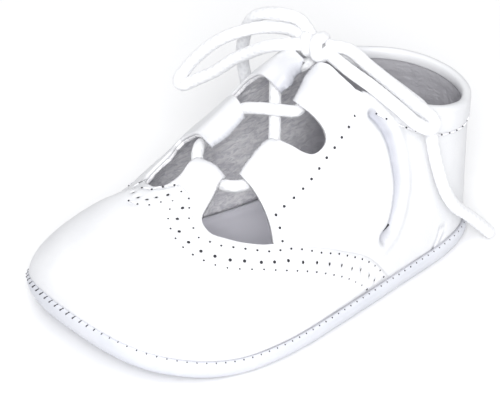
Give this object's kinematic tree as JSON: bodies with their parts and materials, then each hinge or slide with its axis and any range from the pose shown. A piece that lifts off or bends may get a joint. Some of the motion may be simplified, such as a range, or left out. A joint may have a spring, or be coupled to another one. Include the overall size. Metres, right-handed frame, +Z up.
{
  "type": "ghillie brogue",
  "caption": "Small child's soft white leather brogue for the left foot, open at the instep with laced tabs, cut-outs, a punched wing toe and a tied bow.",
  "frame": {"origin": "on the floor under the middle of the shoe", "axes": "+Z up, toe towards -Y, heel towards +Y, outer side of the foot towards +X"},
  "size_m": [0.0611, 0.1046, 0.0572],
  "materials": {
    "white_leather": "satin, fine grain",
    "white_overlay_leather": "satin, fine grain",
    "white_sole_leather": "satin, soft",
    "grey_insole": "matt",
    "white_lace": "round braided cord"
  },
  "bodies": {
    "root": {"sole": "white_sole_leather", "insole": "grey_insole", "upper": "white_leather", "vamp_wing": "white_overlay_leather", "collar_band": "white_overlay_leather", "lace_loop_near_1": "white_leather", "lace_loop_near_2": "white_leather", "lace_loop_near_3": "white_leather", "lace_loop_far_1": "white_leather", "lace_loop_far_2": "white_leather", "lace_crossings": "white_lace", "lace_knot": "white_lace", "bow_loop_far": "white_lace", "bow_loop_near": "white_lace", "lace_end_far": "white_lace", "lace_end_near": "white_lace"}
  },
  "joints": []
}
